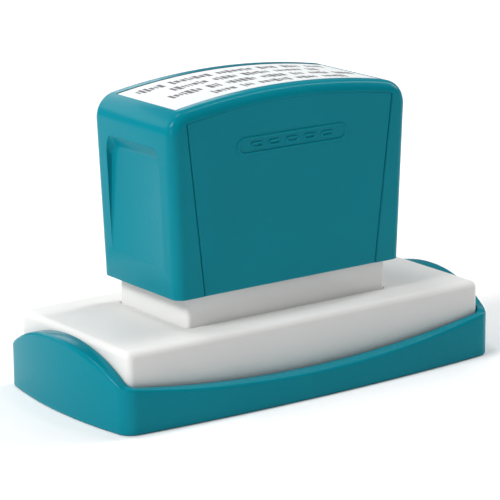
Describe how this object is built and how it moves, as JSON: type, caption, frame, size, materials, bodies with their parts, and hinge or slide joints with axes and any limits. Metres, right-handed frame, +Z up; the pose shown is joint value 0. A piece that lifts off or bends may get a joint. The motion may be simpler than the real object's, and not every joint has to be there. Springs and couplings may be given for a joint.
{
  "type": "pre-inked hand stamp",
  "caption": "Rectangular pre-inked hand stamp with a sprung handle over a white base frame, standing in its protective cap.",
  "frame": {"origin": "centre of the cap's foot, on the surface that it stands on", "axes": "+X along the length, -Y towards the front panel, +Z up along every slide"},
  "size_m": [0.0992, 0.0494, 0.0641],
  "materials": {
    "teal_plastic": "satin gloss",
    "white_plastic": "satin",
    "grey_plastic": "matte",
    "ink_foam": "open-cell foam soaked with ink",
    "die_rubber": "matte porous rubber",
    "plug_rubber": "matte",
    "steel": "bright drawn wire",
    "label_paper": "printed paper"
  },
  "bodies": {
    "cap": {"protective_cap": "teal_plastic"},
    "skirt": {"skirt_frame": "white_plastic", "guide_collar": "white_plastic", "return_spring_left": "steel", "return_spring_right": "steel"},
    "carrier": {"die_holder": "grey_plastic", "die_frame": "grey_plastic", "ink_reservoir": "ink_foam", "text_die": "die_rubber", "carrier_head": "grey_plastic", "head_screws": "steel"},
    "handle": {"handle_shell": "teal_plastic", "handle_core": "grey_plastic", "front_panel": "teal_plastic", "rear_panel": "teal_plastic", "imprint_label": "label_paper"},
    "left_plug": {"filler_plug_left": "plug_rubber"},
    "right_plug": {"filler_plug_right": "plug_rubber"}
  },
  "joints": [
    {"name": "cap_release", "type": "slide", "parent": "cap", "child": "skirt", "axis": [0, 0, 1], "range_m": [0, 0.03]},
    {"name": "handle_press", "type": "slide", "parent": "skirt", "child": "carrier", "axis": [0, 0, -1], "range_m": [0, 0.005], "stiffness_N_per_m": 800, "springref_m": -0.005, "deforming": ["return_spring_left", "return_spring_right"]},
    {"name": "handle_pull_off", "type": "slide", "parent": "carrier", "child": "handle", "axis": [0, 0, 1], "range_m": [0, 0.03]},
    {"name": "left_plug_pull", "type": "slide", "parent": "carrier", "child": "left_plug", "axis": [0, 0, 1], "range_m": [0, 0.007]},
    {"name": "right_plug_pull", "type": "slide", "parent": "carrier", "child": "right_plug", "axis": [0, 0, 1], "range_m": [0, 0.007]}
  ]
}
